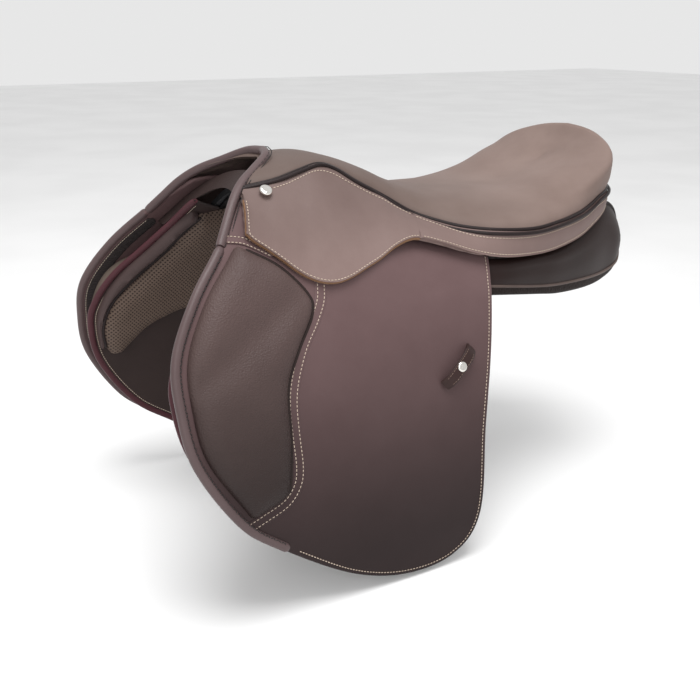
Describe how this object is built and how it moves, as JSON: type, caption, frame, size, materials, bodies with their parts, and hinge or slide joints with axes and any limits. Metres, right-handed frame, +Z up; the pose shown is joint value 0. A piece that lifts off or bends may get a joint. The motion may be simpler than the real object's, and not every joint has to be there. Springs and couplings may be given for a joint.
{
  "type": "english saddle",
  "caption": "Close-contact English jumping saddle: deep dished seat, forward flaps with knee pads, lifting skirts, girth straps under the flaps and stirrup bars with catches.",
  "frame": {"origin": "on the mid-plane, under the deepest point of the seat, level with the lowest line of the rear panels", "axes": "+Z up, -Y forward (the pommel's end), +X towards the horse's left, the near side"},
  "size_m": [0.3808, 0.5722, 0.3989],
  "materials": {
    "seat_leather": "matte fine-grain synthetic leather",
    "flap_leather": "smooth satin synthetic leather",
    "skirt_leather": "smooth satin synthetic leather",
    "pad_leather": "pebble-grained leather over foam",
    "binding_leather": "rolled soft leather with zigzag stitching",
    "sweat_binding_leather": "soft burgundy binding",
    "lining_leather": "smooth dark lining leather",
    "panel_leather": "smooth soft panel leather",
    "shoulder_leather": "perforated soft leather over foam",
    "billet_leather": "smooth reinforced strap leather",
    "webbing": "woven girth web",
    "foam": "open-cell seat foam",
    "tree_plastic": "moulded polymer",
    "steel": "brushed stainless steel",
    "nickel": "polished nickel plate"
  },
  "bodies": {
    "root": {"arch_facing": "lining_leather", "bar_rivets": "steel", "cantle_band": "skirt_leather", "catch_pins": "steel", "flap_top_left": "flap_leather", "flap_top_right": "flap_leather", "girth_webs_left": "webbing", "girth_webs_right": "webbing", "gullet_plate": "steel", "gullet_screws": "steel", "knee_block_left": "panel_leather", "knee_block_right": "panel_leather", "knee_pad_top_left": "pad_leather", "knee_pad_top_right": "pad_leather", "panel_left": "panel_leather", "panel_right": "panel_leather", "point_pocket_left": "lining_leather", "point_pocket_right": "lining_leather", "pommel_binding": "binding_leather", "pommel_studs": "nickel", "seat_cover": "seat_leather", "seat_foam": "foam", "seat_webbing": "webbing", "shoulder_panel_left": "shoulder_leather", "shoulder_panel_right": "shoulder_leather", "skirt_top_left": "skirt_leather", "skirt_top_right": "skirt_leather", "stirrup_bar_left": "steel", "stirrup_bar_right": "steel", "sweat_flap_binding_left": "sweat_binding_leather", "sweat_flap_binding_right": "sweat_binding_leather", "sweat_flap_left": "lining_leather", "sweat_flap_right": "lining_leather", "tree_frame": "tree_plastic"},
    "flap_left": {"flap_left": "flap_leather", "flap_binding_left": "binding_leather", "knee_pad_left": "pad_leather", "keeper_left": "flap_leather", "keeper_stud_left": "nickel"},
    "skirt_left": {"skirt_left": "skirt_leather"},
    "billet_front_left": {"billet_front_left": "billet_leather"},
    "billet_middle_left": {"billet_middle_left": "billet_leather"},
    "billet_rear_left": {"billet_rear_left": "billet_leather"},
    "bar_catch_left": {"bar_catch_left": "steel"},
    "flap_right": {"flap_right": "flap_leather", "flap_binding_right": "binding_leather", "knee_pad_right": "pad_leather", "keeper_right": "flap_leather", "keeper_stud_right": "nickel"},
    "skirt_right": {"skirt_right": "skirt_leather"},
    "billet_front_right": {"billet_front_right": "billet_leather"},
    "billet_middle_right": {"billet_middle_right": "billet_leather"},
    "billet_rear_right": {"billet_rear_right": "billet_leather"},
    "bar_catch_right": {"bar_catch_right": "steel"}
  },
  "joints": [
    {"name": "flap_lift_left", "type": "hinge", "parent": "root", "child": "flap_left", "pos_m": [0.1415, -0.13, 0.048], "axis": [0, -1, 0], "range_deg": [0, 75]},
    {"name": "skirt_lift_left", "type": "hinge", "parent": "root", "child": "skirt_left", "pos_m": [0.097, -0.216, 0.118], "axis": [-0.0758, -0.9795, 0.1866], "range_deg": [0, 80]},
    {"name": "billet_front_swing_left", "type": "hinge", "parent": "root", "child": "billet_front_left", "pos_m": [0.1115, -0.104, 0.056], "axis": [1, 0, 0], "range_deg": [-10, 10]},
    {"name": "billet_middle_swing_left", "type": "hinge", "parent": "root", "child": "billet_middle_left", "pos_m": [0.1065, -0.072, 0.056], "axis": [1, 0, 0], "range_deg": [-7, 10]},
    {"name": "billet_rear_swing_left", "type": "hinge", "parent": "root", "child": "billet_rear_left", "pos_m": [0.1015, -0.04, 0.056], "axis": [1, 0, 0], "range_deg": [-7, 8]},
    {"name": "catch_turn_left", "type": "hinge", "parent": "root", "child": "bar_catch_left", "pos_m": [0.10239, -0.121, 0.08286], "axis": [0.8025, 0, 0.5967], "range_deg": [0, 75]},
    {"name": "flap_lift_right", "type": "hinge", "parent": "root", "child": "flap_right", "pos_m": [-0.1415, -0.13, 0.048], "axis": [0, 1, 0], "range_deg": [0, 75]},
    {"name": "skirt_lift_right", "type": "hinge", "parent": "root", "child": "skirt_right", "pos_m": [-0.097, -0.216, 0.118], "axis": [-0.0758, 0.9795, -0.1866], "range_deg": [0, 80]},
    {"name": "billet_front_swing_right", "type": "hinge", "parent": "root", "child": "billet_front_right", "pos_m": [-0.1115, -0.104, 0.056], "axis": [1, 0, 0], "range_deg": [-10, 10]},
    {"name": "billet_middle_swing_right", "type": "hinge", "parent": "root", "child": "billet_middle_right", "pos_m": [-0.1065, -0.072, 0.056], "axis": [1, 0, 0], "range_deg": [-7, 10]},
    {"name": "billet_rear_swing_right", "type": "hinge", "parent": "root", "child": "billet_rear_right", "pos_m": [-0.1015, -0.04, 0.056], "axis": [1, 0, 0], "range_deg": [-7, 8]},
    {"name": "catch_turn_right", "type": "hinge", "parent": "root", "child": "bar_catch_right", "pos_m": [-0.10239, -0.121, 0.08286], "axis": [0.8025, 0, -0.5967], "range_deg": [0, 75]}
  ]
}
